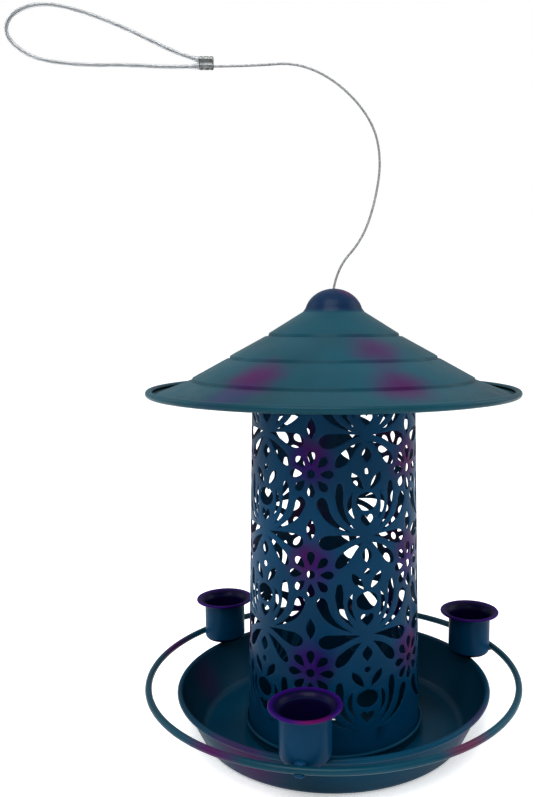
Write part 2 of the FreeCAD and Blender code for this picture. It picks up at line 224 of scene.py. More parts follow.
def spun_sheet(name: str, profile: Profile, thickness: float, steps: int = 144,
               middle: Vector = Vector((0, 0, 0))) -> bpy.types.Object:
    """Spins a half section into a sheet-metal piece with a real thickness.

    Args:
        name: the piece's name.
        profile: the sheet's middle line.
        thickness: the sheet's thickness, in millimetres.
        steps: how many steps the spin has.
        middle: where the piece's axis stands, in metres.

    Returns:
        The finished piece.
    """
    made = bmesh.new()
    corners = [made.verts.new((radius * MM, 0, height * MM)) for radius, height in profile.points]
    runs = [made.edges.new(pair) for pair in zip(corners, corners[1:])]
    bmesh.ops.spin(made, geom=corners + runs, cent=(0, 0, 0), axis=(0, 0, 1), dvec=(0, 0, 0),
                   angle=math.tau, steps=steps, use_merge=True)
    bmesh.ops.remove_doubles(made, verts=made.verts, dist=1e-6)
    bmesh.ops.recalc_face_normals(made, faces=made.faces)
    bmesh.ops.translate(made, verts=made.verts, vec=middle)
    piece = finish_mesh(made, name)
    wall = piece.modifiers.new("sheet", "SOLIDIFY")
    wall.thickness = thickness * MM
    wall.offset = 0.0
    wall.use_even_offset = True
    applied(piece)
    shaped = bmesh.new()
    shaped.from_mesh(piece.data)
    old = piece.data
    bpy.data.objects.remove(piece)
    bpy.data.meshes.remove(old)
    bmesh.ops.recalc_face_normals(shaped, faces=shaped.faces)
    return finish_mesh(shaped, name)


# --- finishes ---
class Nodes:
    """A short way of building a material's node tree."""

    def __init__(self, name: str) -> None:
        """Starts a material with a Principled shader."""
        self.material = bpy.data.materials.new(name)
        self.material.use_nodes = True
        self.tree = self.material.node_tree
        self.shader = self.tree.nodes["Principled BSDF"]
        self.place = self.tree.nodes.new("ShaderNodeTexCoord").outputs["Object"]

    def add(self, kind: str, inputs: Optional[dict] = None, **settings: object) -> bpy.types.Node:
        """Adds a node.

        Args:
            kind: the node's type.
            inputs: values or sockets for its inputs, by name or number.
            settings: the node's own properties.

        Returns:
            The new node.
        """
        node = self.tree.nodes.new(kind)
        for key, value in settings.items():
            setattr(node, key, value)
        for key, value in (inputs or {}).items():
            if isinstance(value, bpy.types.NodeSocket):
                self.tree.links.new(value, node.inputs[key])
            else:
                node.inputs[key].default_value = value
        return node

    def maths(self, operation: str, a: object, b: object = 0.0, c: object = 0.0) -> bpy.types.NodeSocket:
        """The result of a Math node on up to three values or sockets."""
        return self.add("ShaderNodeMath", {0: a, 1: b, 2: c}, operation=operation).outputs[0]

    def noise(self, scale: float, detail: float = 2.0, rough: float = 0.5) -> bpy.types.NodeSocket:
        """A noise value over the piece, its scale in features to the metre."""
        found = self.add("ShaderNodeTexNoise", {"Vector": self.place, "Scale": scale, "Detail": detail,
                                                "Roughness": rough})
        return found.outputs["Fac"]

    def ramp(self, value: bpy.types.NodeSocket, low: float, high: float, to_low: float = 0.0,
             to_high: float = 1.0) -> bpy.types.NodeSocket:
        """A value carried smoothly from one range to another."""
        node = self.add("ShaderNodeMapRange", {"Value": value, "From Min": low, "From Max": high,
                                               "To Min": to_low, "To Max": to_high},
                        interpolation_type="SMOOTHSTEP")
        return node.outputs["Result"]

    def mix(self, share: object, first: object, second: object) -> bpy.types.NodeSocket:
        """A colour part way between two colours."""
        node = self.add("ShaderNodeMix", data_type="RGBA", blend_type="MIX")
        for socket, value in ((node.inputs[0], share), (node.inputs[6], first), (node.inputs[7], second)):
            if isinstance(value, bpy.types.NodeSocket):
                self.tree.links.new(value, socket)
            elif isinstance(value, (int, float)):
                socket.default_value = value
            else:
                socket.default_value = (*value, 1.0)
        return node.outputs[2]

    def colour(self, value: object) -> None:
        """Sets or links the shader's base colour."""
        socket = self.shader.inputs["Base Color"]
        if isinstance(value, bpy.types.NodeSocket):
            self.tree.links.new(value, socket)
        else:
            socket.default_value = (*value, 1.0)

    def bump(self, height: bpy.types.NodeSocket, strength: float, distance: float) -> None:
        """Links a height to the shader's normal as a bump."""
        node = self.add("ShaderNodeBump", {"Height": height, "Strength": strength, "Distance": distance})
        self.tree.links.new(node.outputs["Normal"], self.shader.inputs["Normal"])


class Spray(Enum):
    """The airbrushed colours over the teal base coat, and the near-black painted shade laid inside the
    cups.
    """

    PLUM = (0.062, 0.002, 0.072)
    VIOLET = (0.026, 0.002, 0.110)
    MAGENTA = (0.155, 0.002, 0.046)
    NAVY = (0.002, 0.020, 0.064)
    # Near black painted inside each cup and up its funnel: painted shade of the cup's hollow, not a spray.
    INK = (0.004, 0.002, 0.034)


@dataclass(frozen=True)
class Patch:
    """One soft airbrushed patch: its middle and radius in millimetres, its colour and its strength."""

    middle: tuple[float, float, float]
    radius: float
    spray: Spray
    strength: float = 0.9


@dataclass(frozen=True)
class SatinPaint:
    """A satin sprayed enamel: a teal coat that drifts a little, with airbrushed patches over it."""

    name: str
    base: Colour
    patches: tuple[Patch, ...] = ()
    rough: float = 0.42
    drift: float = 0.22
    gloss: float = 0.07
    bloom: float = 0.0
    extra: Optional[Callable[[Nodes, bpy.types.NodeSocket], bpy.types.NodeSocket]] = None

    def make(self) -> bpy.types.Material:
        """Builds the paint's material."""
        nodes = Nodes(self.name)
        deep = tuple(value * (1 - self.drift) for value in self.base)
        light = tuple(min(1.0, value * (1 + self.drift)) for value in self.base)
        coat = nodes.mix(nodes.ramp(nodes.noise(14.0, 3.0), 0.3, 0.7), deep, light)
        for patch in self.patches:
            coat = self.airbrush(nodes, coat, patch)
        if self.extra is not None:
            coat = self.extra(nodes, coat)
        nodes.colour(coat)
        fine = nodes.noise(900.0, 2.0)
        rough = nodes.ramp(nodes.noise(55.0, 3.0), 0.25, 0.75, self.rough - 0.05, self.rough + 0.07)
        nodes.tree.links.new(rough, nodes.shader.inputs["Roughness"])
        nodes.shader.inputs["Specular IOR Level"].default_value = self.gloss
        nodes.shader.inputs["Sheen Weight"].default_value = self.bloom
        nodes.shader.inputs["Sheen Roughness"].default_value = 0.35
        nodes.shader.inputs["Coat Weight"].default_value = 0.06
        nodes.shader.inputs["Coat Roughness"].default_value = 0.18
        nodes.bump(fine, 0.18, 0.0003)
        return nodes.material

    @staticmethod
    def airbrush(nodes: Nodes, coat: bpy.types.NodeSocket, patch: Patch) -> bpy.types.NodeSocket:
        """Lays one soft patch over the coat and returns the new colour."""
        middle = tuple(value * MM for value in patch.middle)
        away = nodes.add("ShaderNodeVectorMath", {0: nodes.place, 1: middle}, operation="DISTANCE")
        ragged = nodes.maths("MULTIPLY_ADD", nodes.noise(70.0, 2.0), patch.radius * MM * 0.5,
                             away.outputs["Value"])
        cover = nodes.ramp(ragged, patch.radius * MM * 0.35, patch.radius * MM * 1.35,
                           patch.strength, 0.0)
        return nodes.mix(cover, coat, patch.spray.value)


@dataclass(frozen=True)
class BareMetal:
    """Bare drawn or crimped metal with fine scratches."""

    name: str
    base: Colour
    rough: float

    def make(self) -> bpy.types.Material:
        """Builds the metal's material."""
        nodes = Nodes(self.name)
        dull = tuple(value * 0.72 for value in self.base)
        streaks = nodes.ramp(nodes.noise(700.0, 4.0), 0.3, 0.75)
        nodes.colour(nodes.mix(streaks, dull, self.base))
        rough = nodes.ramp(nodes.noise(400.0, 2.0), 0.3, 0.7, self.rough - 0.06, self.rough + 0.1)
        nodes.tree.links.new(rough, nodes.shader.inputs["Roughness"])
        nodes.shader.inputs["Metallic"].default_value = 1.0
        nodes.bump(nodes.noise(1500.0, 3.0), 0.3, 0.0001)
        return nodes.material


@dataclass(frozen=True)
class ClearTube:
    """Soft clear plastic tubing, a little cloudy."""

    name: str
    tint: Colour

    def make(self) -> bpy.types.Material:
        """Builds the tubing's material."""
        nodes = Nodes(self.name)
        cloudy = tuple(value * 0.9 for value in self.tint)
        nodes.colour(nodes.mix(nodes.ramp(nodes.noise(120.0), 0.3, 0.7), cloudy, self.tint))
        rough = nodes.ramp(nodes.noise(300.0), 0.3, 0.7, 0.12, 0.25)
        nodes.tree.links.new(rough, nodes.shader.inputs["Roughness"])
        nodes.shader.inputs["Transmission Weight"].default_value = 0.9
        nodes.shader.inputs["IOR"].default_value = 1.42
        return nodes.material


TEAL: Colour = (0.0002, 0.047, 0.110)
RING_TEAL: Colour = (0.0008, 0.049, 0.080)
# A darker copy of the teal: painted shade for the parts that sit in shade, the tray's inside, the seat, the
# beads under the cups and the strap.
SHADED_TEAL: Colour = (0.0002, 0.040, 0.078)
# A lighter, greyer copy of the teal for the roof: painted light for the sky the upward-facing roof
# reflects.
LIT_ROOF_TEAL: Colour = (0.006, 0.057, 0.082)


def wear(piece: bpy.types.Object, material: bpy.types.Material) -> None:
    """Gives a piece its one material."""
    piece.data.materials.clear()
    piece.data.materials.append(material)


# --- roof ---
@dataclass
class Roof:
    """The wide cone, pressed in three steps, with a round dome and a rolled-up rim."""

    sheet: float = 0.8
    hole: float = 1.6
    dome_radius: float = 17.8
    dome_base: float = 265.6
    dome_height: float = 15.7
    steps: tuple[Point, ...] = ((40.2, 254.2), (64.3, 240.3), (87.6, 226.8))
    drop: float = 1.85
    ledge: float = 2.7
    edge: Point = (112.2, 216.0)
    rim_centre: Point = (114.2, 218.0)
    rim_radius: float = 1.7

    def profile(self) -> Profile:
        """The sheet's middle line, from the cable hole out to the curled rim."""
        half = self.sheet / 2
        line = Profile()
        first_angle = math.degrees(math.acos(self.hole / self.dome_radius))
        line.arc((0, self.dome_base), self.dome_radius, first_angle, 14, 16, self.dome_height)
        foot = (19.0, 267.0)
        line.corner(foot, (self.steps[0][0], self.steps[0][1] - half), 1.6, 4)
        for radius, height in self.steps:
            top = (radius, height - half)
            low = (radius + 0.5, height - half - self.drop)
            out = (radius + self.ledge, height - half - self.drop - self.ledge * 0.12)
            line.corner(top, low, 0.45, 3)
            line.corner(low, out, 0.4, 3)
            line.corner(out, self.after(out), 1.2, 3)
        line.to(self.edge)
        line.arc(self.rim_centre, self.rim_radius, 228, 520, 20)
        return line

    def after(self, ledge_end: Point) -> Point:
        """The next corner that the cone heads for from the end of a ledge."""
        later = [step for step in self.steps if step[0] > ledge_end[0]]
        if later:
            return later[0][0], later[0][1] - self.sheet / 2
        return self.edge

    def build(self) -> bpy.types.Object:
        """Spins the roof and dresses it."""
        roof = spun_sheet("roof_shell", self.profile(), self.sheet, 192)
        patches = (
            Patch((24.0, -50.0, 245.0), 21.0, Spray.PLUM, 0.74),
            Patch((37.0, -80.0, 227.5), 23.0, Spray.PLUM, 0.88),
            Patch((-43.0, -68.0, 231.0), 22.0, Spray.PLUM, 0.86),
            Patch((-56.0, -84.0, 223.0), 20.0, Spray.VIOLET, 0.42),
            Patch((-60.0, 48.0, 232.0), 26.0, Spray.PLUM, 0.85),
            Patch((20.0, 80.0, 228.0), 26.0, Spray.PLUM, 0.85),
            Patch((84.0, 26.0, 227.0), 24.0, Spray.PLUM, 0.8),
        )

        def cap(nodes: Nodes, coat: bpy.types.NodeSocket) -> bpy.types.NodeSocket:
            """Sprays the dome navy down to its foot, with a plum crown."""
            height = nodes.add("ShaderNodeSeparateXYZ", {0: nodes.place}).outputs["Z"]
            coat = nodes.mix(nodes.ramp(height, 0.2660, 0.2695, 0.0, 0.95), coat, Spray.NAVY.value)
            crown = Patch((9.0, -3.0, 281.0), 10.0, Spray.PLUM, 0.85)
            return SatinPaint.airbrush(nodes, coat, crown)

        # The roof's lighter, greyer teal is painted light over the same paint as the tube.
        finish = SatinPaint("roof_paint", LIT_ROOF_TEAL, patches, 0.42, gloss=0.10, bloom=0.07,
                             extra=cap)
        wear(roof, finish.make())
        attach(roof, ROOF_BODY)
        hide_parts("roof")
        return roof


# --- tray, seat and perch ring ---
@dataclass
class Tray:
    """The shallow dish, its drain holes and the cup that the tube stands in."""

    sheet: float = 0.8
    floor_radius: float = 84.5
    corner: float = 6.6
    rim_centre: Point = (98.6, 28.2)
    rim_radius: float = 1.3
    hole: float = 2.5
    drain_circle: float = 67.0
    drain_angles: tuple[float, ...] = (167.7, -12.3)
    drain: float = 1.8
    seat_wall: float = 56.05
    seat_height: float = 6.0

    def build_dish(self) -> bpy.types.Object:
        """Spins the dish, drills it and dresses it."""
        half = self.sheet / 2
        top = (self.rim_centre[0] - self.rim_radius, self.rim_centre[1] - 0.4)
        line = Profile().to((self.hole, half), (40.0, half))
        line.corner((self.floor_radius - half, half), top, self.corner, 8)
        line.arc(self.rim_centre, self.rim_radius, 188, -120, 18)
        dish = spun_sheet("tray_dish", line, self.sheet, 192)
        places = [around(self.drain_circle, angle, half) for angle in self.drain_angles]
        cut_holes(dish, places, self.drain, 3.0)
        patches = (
            Patch((-52.0, -84.0, 14.0), 30.0, Spray.PLUM, 0.8),
            Patch((84.0, -50.0, 20.0), 24.0, Spray.PLUM, 0.5),
            Patch((-96.0, 30.0, 12.0), 22.0, Spray.PLUM, 0.6),
            Patch((36.0, 98.0, 12.0), 22.0, Spray.PLUM, 0.6),
        )
        # The dish wears the darker teal copy as painted shade of its hollow; the plum patches are real
        # sprays.
        wear(dish, SatinPaint("tray_paint", SHADED_TEAL, patches, 0.40).make())
        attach(dish, FEEDER_BODY)
        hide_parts("tray")
        return dish

    def build_seat(self) -> bpy.types.Object:
        """Spins the tube's seat with its small curled lip."""
        floor = self.sheet * 1.5
        high = self.sheet + self.seat_height
        line = Profile().to((self.hole, floor), (40.0, floor))
        line.corner((self.seat_wall, floor), (self.seat_wall, high), 0.5, 3)
        line.to((self.seat_wall, high - 0.3))
        line.arc((self.seat_wall + 0.75, high), 0.75, 180, -60, 10)
        seat = spun_sheet("tube_seat_cup", line, self.sheet * 0.9, 144)
        # The seat wears the darker teal copy, painted shade for where it sits inside the tray.
        wear(seat, SatinPaint("seat_paint", SHADED_TEAL, (), 0.36).make())
        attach(seat, FEEDER_BODY)
        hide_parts("tube_seat")
        return seat


@dataclass
class PerchRing:
    """The round wire perch that welds hold to the cups."""

    radius: float = 118.0
    wire: float = 2.1
    height: float = 34.0

    def build_ring(self) -> bpy.types.Object:
        """Spins the wire into a ring."""
        made = bmesh.new()
        turn = Matrix.Translation((self.radius * MM, 0, self.height * MM)) @ Matrix.Rotation(
            math.pi / 2, 4, "X")
        circle = bmesh.ops.create_circle(made, cap_ends=False, segments=16, radius=self.wire * MM,
                                         matrix=turn)
        edges = list({edge for vert in circle["verts"] for edge in vert.link_edges})
        bmesh.ops.spin(made, geom=circle["verts"] + edges, cent=(0, 0, 0), axis=(0, 0, 1),
                       dvec=(0, 0, 0), angle=math.tau, steps=240, use_merge=True)
        bmesh.ops.remove_doubles(made, verts=made.verts, dist=1e-6)
        bmesh.ops.recalc_face_normals(made, faces=made.faces)
        ring = finish_mesh(made, "perch_wire", 80.0)
        patches = (
            Patch((72.0, -94.0, 34.0), 20.0, Spray.MAGENTA, 0.62),
            Patch((-64.0, -99.0, 34.0), 20.0, Spray.PLUM, 0.9),
            Patch((-112.0, 38.0, 34.0), 24.0, Spray.PLUM, 0.8),
            Patch((20.0, 116.0, 34.0), 26.0, Spray.MAGENTA, 0.7),
        )
        wear(ring, SatinPaint("ring_paint", RING_TEAL, patches, 0.34, gloss=0.16).make())
        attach(ring, FEEDER_BODY)
        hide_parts("perch_ring")
        return ring


# --- cups ---
@dataclass
class Cup:
    """One deep drawn cup with a flared mouth and a curled edge."""

    name: str
    node: str
    degrees: float
    circle: float = 101.5
    radius: float = 14.15
    rim_radius: float = 19.0
    base: float = 31.6
    top: float = 61.6
    corner: float = 3.2
    sheet: float = 0.8

    def build(self) -> bpy.types.Object:
        """Spins the cup where it stands and dresses it."""
        half = self.sheet / 2
        tall = self.top - self.base
        wall = self.radius - half
        flare = self.rim_radius - self.radius + half
        line = Profile().to((0.0, half), (5.0, half))
        line.corner((wall, half), (wall, tall), self.corner, 6)
        line.to((wall, tall * 0.4))
        line.arc((wall + flare, tall - flare - 0.9), flare, 180, 96, 12)
        line.arc((self.rim_radius + 0.1, tall - 1.1), 0.55, 100, -150, 10)
        cup = spun_sheet(self.name, line, self.sheet * 0.85, 96,
                         around(self.circle, self.degrees, self.base))
        wear(cup, self.paint())
        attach(cup, FEEDER_BODY)
        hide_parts(self.node)
        return cup

    def paint(self) -> bpy.types.Material:
        """The cup's teal coat with a violet mouth bead, near-black painted shade over its inside and upper
        funnel, and a magenta blush on its near inside.
        """
        middle = around(self.circle, self.degrees) / MM

        def mouth(nodes: Nodes, coat: bpy.types.NodeSocket) -> bpy.types.NodeSocket:
            """Lays the violet bead and the near-black painted shade of the mouth by how high and how far in
            a point is.
            """
            parts = nodes.add("ShaderNodeSeparateXYZ", {0: nodes.place})
            across = nodes.add("ShaderNodeVectorMath", {0: nodes.place, 1: (1, 1, 0)},
                               operation="MULTIPLY")
            spot = (middle.x * MM, middle.y * MM, 0)
            away = nodes.add("ShaderNodeVectorMath", {0: across.outputs[0], 1: spot},
                             operation="DISTANCE").outputs["Value"]
            # Inside the wall and up the funnel the cup is painted near black: painted shade of its hollow.
            funnel = nodes.ramp(parts.outputs["Z"], (self.top - 4.6) * MM, (self.top - 3.4) * MM)
            inside = nodes.ramp(away, (self.radius - 0.40) * MM, (self.radius - 0.15) * MM, 1.0, 0.0)
            deep = nodes.maths("MAXIMUM", inside, funnel)
            bead = nodes.ramp(away, (self.rim_radius - 2.6) * MM, (self.rim_radius - 0.6) * MM)
            # Painted shade inward, the real violet spray on the rim bead.
            coat = nodes.mix(deep, coat, nodes.mix(bead, Spray.INK.value, Spray.VIOLET.value))
            lip = tuple(around(self.circle + 16, self.degrees * 0.6, self.top - 1.5))
            blush = nodes.add("ShaderNodeVectorMath", {0: nodes.place, 1: lip},
                              operation="DISTANCE").outputs["Value"]
            share = nodes.maths("MULTIPLY", deep, nodes.ramp(blush, 3 * MM, 13 * MM, 0.5, 0.0))
            return nodes.mix(share, coat, Spray.MAGENTA.value)

        return SatinPaint(self.name + "_paint", TEAL, (), 0.40, extra=mouth).make()


# --- pierced tube ---
class Hole:
    """One punched hole's outline in millimetres, its middle at the pattern point it belongs to."""

    def __init__(self, outline: Sequence[tuple], across: float = 0.0, up: float = 0.0,
                 turn: float = 0.0, mirror: bool = False) -> None:
        """Places an outline whose points are (x, y) where smooth, or (x, y, "corner")."""
        side = -1.0 if mirror else 1.0
        cos, sin = math.cos(math.radians(turn)), math.sin(math.radians(turn))
        self.corners = [len(point) > 2 for point in outline]
        self.points = [(across + side * (point[0] * cos - point[1] * sin),
                        up + point[0] * sin + point[1] * cos) for point in outline]

    def moved(self, across: float, up: float) -> "Hole":
        """The same hole at another place."""
        copy = Hole([])
        copy.corners = self.corners
        copy.points = [(x + across, y + up) for x, y in self.points]
        return copy

    def reach(self) -> tuple[float, float]:
        """How far the hole reaches to each side."""
        return min(x for x, _ in self.points), max(x for x, _ in self.points)

    def add_to(self, curve: bpy.types.Curve) -> None:
        """Adds the outline to a flat curve as one closed spline."""
        spline = curve.splines.new("BEZIER")
        spline.bezier_points.add(len(self.points) - 1)
        spline.use_cyclic_u = True
        for knot, place, corner in zip(spline.bezier_points, self.points, self.corners):
            knot.co = (*place, 0.0)
            kind = "VECTOR" if corner else "AUTO"
            knot.handle_left_type = kind
            knot.handle_right_type = kind


def mirrored(outline: Sequence[tuple]) -> list[tuple]:
    """A whole outline from its right half, given from its top to its bottom."""
    left = [(-point[0], *point[1:]) for point in reversed(outline) if abs(point[0]) > 1e-6]
    return list(outline) + left


def oval(wide: float, tall: float) -> list[Point]:
    """A round or oval outline."""
    return [(wide / 2 * math.cos(math.tau * step / 6), tall / 2 * math.sin(math.tau * step / 6))
            for step in range(6)]


@dataclass
class FeedTube:
    """The seed tube: one pierced sheet rolled into a slight taper, lapped at the back."""

    foot_radius: float = 55.6
    top_radius: float = 50.8
    flat_radius: float = 53.4
    foot: float = 1.6
    top: float = 246.6
    wall: float = 0.6
    edge_round: float = 0.14
    seam: float = 183.5
    lap: float = 4.5
    tiles: int = 5
    pitch: float = 58.9
    flower_angle: float = -14.5
    flower_height: float = 56.1
    rosette_rise: float = 23.3
    rosette_turn: float = 36.0
    highest_hole: float = 229.0
    bloom_rise: float = 7.0
    slices: int = 96
    bar_rivet_height: float = 232.5

    def flower(self) -> list[Hole]:
        """The round middle, its eight petals and the pointed slot above them."""
        petal = [(5.3, 0.0, "corner"), (8.6, 1.9), (11.6, 2.25), (13.5, 0.0), (11.6, -2.25), (8.6, -1.9)]
        slot = [(0.0, 6.4, "corner"), (2.75, 0.0), (0.0, -6.4, "corner"), (-2.75, 0.0)]
        holes = [Hole(oval(4.9, 4.9)), Hole(slot, up=26.5)]
        return holes + [Hole(petal, turn=45 * step) for step in range(8)]

    def rosette(self) -> list[Hole]:
        """The eye, the heart, and the pairs of crescents, wings and leaves round them."""
        middle = [
            Hole(mirrored([(0.0, 4.65, "corner"), (3.05, 0.0), (0.0, -4.65, "corner")]), up=-12.3),
            Hole(oval(3.5, 3.5), up=-21.9),
            Hole(mirrored([(0.0, -33.9, "corner"), (5.2, -36.2), (6.7, -39.8), (4.6, -43.5),
                           (0.0, -45.0)])),
            Hole(mirrored([(0.0, 1.6, "corner"), (2.3, 3.4), (4.0, 1.5), (2.4, -1.6),
                           (0.0, -3.6, "corner")]), up=-50.6),
        ]
        return middle + [Hole(outline, mirror=side) for side in (False, True) for outline in self.sides()]

    @staticmethod
    def sides() -> list[list[tuple]]:
        """The outlines to the right of the rosette's middle."""
        wing = [(9.2, -22.5, "corner"), (9.5, -25.5), (8.0, -28.6), (2.2, -32.6, "corner"),
                (3.4, -27.8), (5.4, -25.0)]
        inner = [(9.0, -34.5, "corner"), (11.6, -38.5), (11.7, -44.0), (7.2, -50.4, "corner"),
                 (9.2, -44.6), (9.3, -39.5)]
        outer = [(16.6, -28.6), (18.9, -33.0), (18.6, -40.0), (15.2, -48.5), (8.2, -55.2, "corner"),
                 (12.6, -48.0), (14.5, -40.0), (14.6, -32.6)]
        outermost = [(26.6, -36.8), (30.0, -39.6), (28.6, -44.5), (23.0, -51.4), (9.5, -57.8, "corner"),
                     (18.6, -51.0), (22.6, -44.5), (24.0, -39.4)]
        high_leaf = [(4.1, -1.0, "corner"), (10.0, -0.3), (19.0, 0.0), (26.0, -1.0), (28.8, -4.7),
                     (25.0, -8.4), (18.0, -6.9), (10.0, -3.0)]
        low_leaf = [(3.4, -5.0, "corner"), (8.4, -6.4), (14.0, -9.8), (18.6, -14.6), (18.6, -19.0),
                    (14.6, -18.4), (9.8, -13.4), (6.6, -8.8)]
        return [wing, inner, outer, outermost, high_leaf, low_leaf]

    def holes(self) -> list[Hole]:
        """Every hole in the flat sheet, but for those that the seam or the roof's height leaves out."""
        found = []
        seam = math.radians(self.seam) * self.flat_radius
        for tile in range(-3, self.tiles):
            angle = self.flower_angle + 360 * tile / self.tiles
            for row in range(4):
                height = self.flower_height + row * self.pitch
                places = ((self.flower(), angle, height),
                          (self.rosette(), angle + self.rosette_turn, height + self.rosette_rise))
                for pattern, turn, rise in places:
                    across = math.radians(turn) * self.flat_radius
                    found += [hole.moved(across, rise) for hole in pattern]
        left = seam - math.tau * self.flat_radius + self.lap * 1.3
        right = seam - self.lap * 1.3
        found = [hole for hole in found if left < hole.reach()[0] and hole.reach()[1] < right]
        return [hole for hole in found if max(y for _, y in hole.points) < self.highest_hole]

    def flat_sheet(self) -> bpy.types.Mesh:
        """The pierced sheet before it is rolled, with x along the sheet and y up it."""
        curve = bpy.data.curves.new("tube_sheet", "CURVE")
        curve.dimensions = "2D"
        curve.fill_mode = "BOTH"
        curve.resolution_u = 5
        curve.extrude = self.wall / 2 - self.edge_round
        curve.bevel_depth = self.edge_round
        curve.bevel_resolution = 1
        curve.offset = -self.edge_round
        high = math.radians(self.seam) * self.flat_radius + self.lap
        low = high - math.tau * self.flat_radius - 2 * self.lap
        sheet = Hole([(low, self.foot, "corner"), (high, self.foot, "corner"),
                      (high, self.top, "corner"), (low, self.top, "corner")])
        sheet.add_to(curve)
        for hole in self.holes():
            hole.add_to(curve)
        for side in (-90.0, 90.0):
            across = math.radians(side) * self.flat_radius
            Hole(oval(3.2, 3.2)).moved(across, self.bar_rivet_height).add_to(curve)
        holder = bpy.data.objects.new("tube_sheet", curve)
        bpy.context.scene.collection.objects.link(holder)
        bpy.context.view_layer.update()
        flat = bpy.data.meshes.new_from_object(holder)
        bpy.data.objects.remove(holder)
        bpy.data.curves.remove(curve)
        return flat

    def rolled(self, place: Vector) -> Vector:
        """Where a point of the flat sheet goes when the sheet is rolled, in metres."""
        share = place.y / self.top
        radius = self.foot_radius + (self.top_radius - self.foot_radius) * share - self.wall / 2 + place.z
        end = math.radians(self.seam) * self.flat_radius + self.lap
        tucked = min(1.0, max(0.0, (place.x - (end - 2 * self.lap - 3.0)) / 3.0))
        radius -= self.wall * 1.06 * tucked * tucked * (3 - 2 * tucked)
        return around(radius, math.degrees(place.x / self.flat_radius), place.y)

    def build(self) -> bpy.types.Object:
        """Rolls the sheet and dresses it."""
        flat = self.flat_sheet()
        made = bmesh.new()
        made.from_mesh(flat)
        bpy.data.meshes.remove(flat)
        bmesh.ops.remove_doubles(made, verts=made.verts, dist=0.0008)
        high = math.radians(self.seam) * self.flat_radius
        for step in range(1, self.slices):
            across = high - math.tau * self.flat_radius * step / self.slices
            bmesh.ops.bisect_plane(made, geom=made.verts[:] + made.edges[:] + made.faces[:], dist=0.0004,
                                   plane_co=(across, 0, 0), plane_no=(1, 0, 0))
        bmesh.ops.recalc_face_normals(made, faces=made.faces)
        for vert in made.verts:
            vert.co = self.rolled(vert.co)
        tube = finish_mesh(made, "feed_tube_sheet", 30.0)
        wear(tube, self.paint())
        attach(tube, FEEDER_BODY)
        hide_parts("feed_tube")
        return tube

    def paint(self) -> bpy.types.Material:
        """The teal coat with a violet or plum bloom sprayed over every flower."""

        def blooms(nodes: Nodes, coat: bpy.types.NodeSocket) -> bpy.types.NodeSocket:
            """Lays the blooms by how far a point is from its nearest flower, round and up."""
            parts = nodes.add("ShaderNodeSeparateXYZ", {0: nodes.place})
            back = nodes.maths("MULTIPLY", parts.outputs["Y"], -1.0)
            angle = nodes.maths("ARCTAN2", parts.outputs["X"], back)
            tile = math.tau / self.tiles
            turned = nodes.maths("SUBTRACT", angle, math.radians(self.flower_angle) - tile / 2 - math.tau)
            round_off = nodes.maths("SUBTRACT", nodes.maths("MODULO", turned, tile), tile / 2)
            across = nodes.maths("MULTIPLY", round_off, self.flat_radius * MM)
            shifted = nodes.maths("SUBTRACT", parts.outputs["Z"],
                                  (self.flower_height + self.bloom_rise - 1.5 * self.pitch) * MM)
            up = nodes.maths("SUBTRACT", nodes.maths("MODULO", shifted, self.pitch * MM),
                             self.pitch * MM / 2)
            away = nodes.maths("SQRT", nodes.maths("ADD", nodes.maths("MULTIPLY", across, across),
                                                   nodes.maths("MULTIPLY", up, up)))
            ragged = nodes.maths("MULTIPLY_ADD", nodes.noise(55.0, 2.0), 0.014, away)
            cover = nodes.ramp(ragged, 0.010, 0.027, 0.95, 0.0)
            cover = nodes.maths("MULTIPLY", cover, nodes.ramp(parts.outputs["Z"], 0.024, 0.036))
            hue = nodes.mix(nodes.ramp(nodes.noise(16.0, 1.0), 0.42, 0.58), Spray.VIOLET.value,
                            Spray.PLUM.value)
            return nodes.mix(cover, coat, hue)

        return SatinPaint("tube_paint", TEAL, (), 0.40, extra=blooms).make()


# --- cable ---
def route_line(route: Sequence[Point]) -> list[Vector]:
    """The smooth line of a cable laid along a route of (x, z) points in metres, in the plane y = 0."""
    curve = bpy.data.curves.new("route", "CURVE")
    curve.dimensions = "3D"
    curve.resolution_u = 24
    spline = curve.splines.new("NURBS")
    spline.points.add(len(route) - 1)
    for knot, (x, z) in zip(spline.points, route):
        knot.co = (x, 0.0, z, 1.0)
    spline.order_u = 3
    spline.use_endpoint_u = True
    holder = bpy.data.objects.new("route", curve)
    bpy.context.scene.collection.objects.link(holder)
    bpy.context.view_layer.update()
    mesh = bpy.data.meshes.new_from_object(holder)
    line = [vert.co.copy() for vert in mesh.vertices]
    bpy.data.objects.remove(holder)
    bpy.data.curves.remove(curve)
    bpy.data.meshes.remove(mesh)
    return line


def evenly(line: Sequence[Vector], spacing: float) -> list[Vector]:
    """The same line with its points about a spacing apart."""
    lengths = [0.0]
    for a, b in zip(line, line[1:]):
        lengths.append(lengths[-1] + (b - a).length)
    count = max(2, round(lengths[-1] / spacing))
    found, index = [], 0
    for step in range(count + 1):
        goal = lengths[-1] * step / count
        while index < len(line) - 2 and lengths[index + 1] < goal:
            index += 1
        span = lengths[index + 1] - lengths[index]
        share = (goal - lengths[index]) / span if span else 0.0
        found.append(line[index].lerp(line[index + 1], min(1.0, share)))
    return found


def frames(line: Sequence[Vector]) -> list[tuple[Vector, Vector, Vector]]:
    """Each point of a line in the plane y = 0 with the two directions across it there."""
    found = []
    for index, place in enumerate(line):
        along = (line[min(index + 1, len(line) - 1)] - line[max(index - 1, 0)]).normalized()
        side = Vector((0, 1, 0))
        found.append((place, side, along.cross(side).normalized()))
    return found


